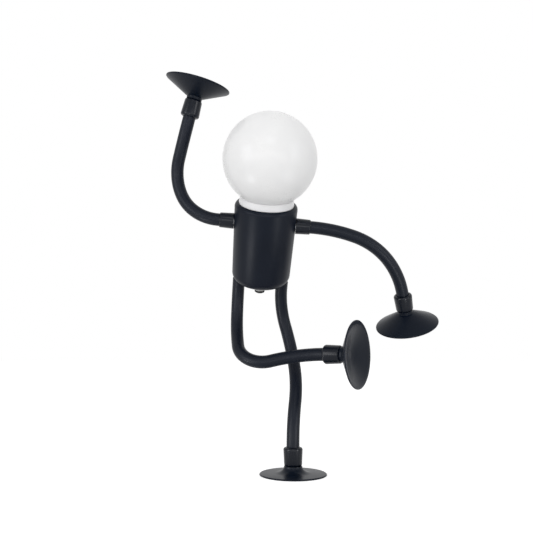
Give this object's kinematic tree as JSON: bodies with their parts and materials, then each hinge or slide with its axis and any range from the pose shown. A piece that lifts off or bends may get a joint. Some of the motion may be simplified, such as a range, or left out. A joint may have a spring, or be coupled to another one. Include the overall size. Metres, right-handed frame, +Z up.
{
  "type": "posable figure desk lamp",
  "caption": "Desk lamp shaped as a stick figure: a cup-like torso holds a globe lamp as the head, and bendable gooseneck arms and legs end in suction cups.",
  "frame": {"origin": "Centre of the rest face under the standing foot, the one on the right as seen from the front.", "axes": "+Z up, front of the figure towards -Y, +X to the right as seen from the front."},
  "size_m": [0.2435, 0.1358, 0.3417],
  "materials": {
    "torso_paint": "satin near-black navy powder coat",
    "collar_plastic": "near-black with a soft gloss",
    "sleeve_rubber": "near-black satin rubber",
    "cup_rubber": "smooth dark rubber",
    "grommet_rubber": "matt black rubber",
    "core_steel": "wound bright steel",
    "fixing_steel": "zinc plated",
    "block_aluminium": "die-cast",
    "socket_plastic": "off-white moulded lamp holder",
    "socket_brass": "plain brass",
    "switch_plastic": "black moulded",
    "button_plastic": "black polished",
    "globe_plastic": "opal white diffuser",
    "housing_plastic": "white moulded",
    "led_plate_aluminium": "white lacquered",
    "board_laminate": "green circuit laminate",
    "cap_metal": "plated lamp cap",
    "insulator_plastic": "dark glassy insulator"
  },
  "bodies": {
    "foot": {"leg_right_suction_cup": "cup_rubber", "leg_right_end_collar": "collar_plastic", "leg_right_sleeve_4": "sleeve_rubber", "leg_right_core_4": "core_steel"},
    "leg_right_3": {"leg_right_sleeve_3": "sleeve_rubber", "leg_right_core_3": "core_steel"},
    "leg_right_2": {"leg_right_sleeve_2": "sleeve_rubber", "leg_right_core_2": "core_steel"},
    "leg_right_1": {"leg_right_sleeve_1": "sleeve_rubber", "leg_right_core_1": "core_steel"},
    "torso": {"torso_shell": "torso_paint", "leg_block": "block_aluminium", "limb_studs": "fixing_steel", "shoulder_nuts": "fixing_steel", "arm_left_shoulder_collar": "collar_plastic", "arm_right_shoulder_collar": "collar_plastic", "leg_left_hip_ferrule": "torso_paint", "leg_right_hip_ferrule": "torso_paint", "socket_body": "socket_plastic", "socket_thread_shell": "socket_brass", "socket_contact": "socket_brass", "socket_screws": "fixing_steel", "switch_body": "switch_plastic", "switch_nut": "switch_plastic", "cord_grommet": "grommet_rubber"},
    "button": {"switch_button": "button_plastic"},
    "bulb": {"bulb_globe": "globe_plastic", "bulb_housing": "housing_plastic", "bulb_led_plate": "led_plate_aluminium", "bulb_driver_board": "board_laminate", "bulb_screw_cap": "cap_metal", "bulb_insulator": "insulator_plastic", "bulb_tip_contact": "cap_metal"},
    "arm_left_1": {"arm_left_sleeve_1": "sleeve_rubber", "arm_left_core_1": "core_steel"},
    "arm_left_2": {"arm_left_sleeve_2": "sleeve_rubber", "arm_left_core_2": "core_steel"},
    "arm_left_3": {"arm_left_sleeve_3": "sleeve_rubber", "arm_left_core_3": "core_steel", "arm_left_end_collar": "collar_plastic", "arm_left_suction_cup": "cup_rubber"},
    "arm_right_1": {"arm_right_sleeve_1": "sleeve_rubber", "arm_right_core_1": "core_steel"},
    "arm_right_2": {"arm_right_sleeve_2": "sleeve_rubber", "arm_right_core_2": "core_steel"},
    "arm_right_3": {"arm_right_sleeve_3": "sleeve_rubber", "arm_right_core_3": "core_steel", "arm_right_end_collar": "collar_plastic", "arm_right_suction_cup": "cup_rubber"},
    "leg_left_1": {"leg_left_sleeve_1": "sleeve_rubber", "leg_left_core_1": "core_steel"},
    "leg_left_2": {"leg_left_sleeve_2": "sleeve_rubber", "leg_left_core_2": "core_steel"},
    "leg_left_3": {"leg_left_sleeve_3": "sleeve_rubber", "leg_left_core_3": "core_steel"},
    "leg_left_4": {"leg_left_sleeve_4": "sleeve_rubber", "leg_left_core_4": "core_steel", "leg_left_end_collar": "collar_plastic", "leg_left_suction_cup": "cup_rubber"}
  },
  "joints": [
    {"name": "leg_right_curl_1", "type": "hinge", "parent": "foot", "child": "leg_right_3", "pos_m": [0.00229, 0.00827, 0.05827], "axis": [-0.9922, 0.0281, 0.1213], "range_deg": [-10, 10]},
    {"name": "leg_right_curl_2", "type": "hinge", "parent": "leg_right_3", "child": "leg_right_2", "pos_m": [0.00243, 0.02646, 0.09051], "axis": [-0.9931, -0.0857, -0.0804], "range_deg": [-10, 10]},
    {"name": "leg_right_curl_3", "type": "hinge", "parent": "leg_right_2", "child": "leg_right_1", "pos_m": [-0.005, 0.03568, 0.12504], "axis": [-0.9505, -0.1385, -0.2781], "range_deg": [-10, 10]},
    {"name": "leg_right_swing", "type": "hinge", "parent": "leg_right_1", "child": "torso", "pos_m": [-0.00878, 0.02457, 0.15967], "axis": [0.976, 0.2132, 0.0452], "range_deg": [-12, 9]},
    {"name": "arm_left_swing", "type": "hinge", "parent": "torso", "child": "arm_left_1", "pos_m": [-0.06441, -0.00745, 0.21589], "axis": [0.084, -0.0973, 0.9917], "range_deg": [-24, 24]},
    {"name": "arm_left_curl_1", "type": "hinge", "parent": "arm_left_1", "child": "arm_left_2", "pos_m": [-0.09492, -0.00288, 0.2348], "axis": [-0.2974, -0.9508, 0.0863], "range_deg": [-11, 24]},
    {"name": "arm_left_curl_2", "type": "hinge", "parent": "arm_left_2", "child": "arm_left_3", "pos_m": [-0.09956, -0.00701, 0.27021], "axis": [-0.2374, -0.8974, -0.3719], "range_deg": [-11, 24]},
    {"name": "arm_right_swing", "type": "hinge", "parent": "torso", "child": "arm_right_1", "pos_m": [0.01704, -0.00685, 0.20905], "axis": [-0.0796, 0.4, -0.913], "range_deg": [-24, 24]},
    {"name": "arm_right_curl_1", "type": "hinge", "parent": "arm_right_1", "child": "arm_right_2", "pos_m": [0.05379, -0.00484, 0.20154], "axis": [-0.0354, -0.9169, -0.3974], "range_deg": [-24, 24]},
    {"name": "arm_right_curl_2", "type": "hinge", "parent": "arm_right_2", "child": "arm_right_3", "pos_m": [0.08427, 0.00476, 0.18257], "axis": [0.0678, -0.8844, -0.4617], "range_deg": [-24, 24]},
    {"name": "leg_left_swing", "type": "hinge", "parent": "torso", "child": "leg_left_1", "pos_m": [-0.04765, 0.02428, 0.16293], "axis": [0.9625, -0.1845, -0.199], "range_deg": [-20, 10]},
    {"name": "leg_left_curl_1", "type": "hinge", "parent": "leg_left_1", "child": "leg_left_2", "pos_m": [-0.04906, 0.02866, 0.13511], "axis": [-0.6419, -0.7421, 0.1932], "range_deg": [-12, 15]},
    {"name": "leg_left_curl_2", "type": "hinge", "parent": "leg_left_2", "child": "leg_left_3", "pos_m": [-0.04729, 0.01318, 0.10684], "axis": [-0.6585, -0.5969, 0.4583], "range_deg": [-12, 15]},
    {"name": "leg_left_curl_3", "type": "hinge", "parent": "leg_left_3", "child": "leg_left_4", "pos_m": [-0.01872, -0.0022, 0.0941], "axis": [0.0689, -0.9886, 0.1339], "range_deg": [-12, 15]},
    {"name": "bulb_unscrew", "type": "slide", "parent": "torso", "child": "bulb", "axis": [0.0751, -0.5237, 0.8486], "range_m": [0, 0.03]},
    {"name": "switch_push", "type": "slide", "parent": "torso", "child": "button", "axis": [0.0751, -0.5237, 0.8486], "range_m": [0, 0.0025], "stiffness_N_per_m": 250, "springref_m": -0.002}
  ],
  "couplings": [
    {"joint": "leg_right_curl_2", "follows": "leg_right_curl_1", "ratio": 1},
    {"joint": "leg_right_curl_3", "follows": "leg_right_curl_1", "ratio": 1},
    {"joint": "arm_left_curl_2", "follows": "arm_left_curl_1", "ratio": 1},
    {"joint": "arm_right_curl_2", "follows": "arm_right_curl_1", "ratio": 1},
    {"joint": "leg_left_curl_2", "follows": "leg_left_curl_1", "ratio": 1},
    {"joint": "leg_left_curl_3", "follows": "leg_left_curl_1", "ratio": 1}
  ]
}
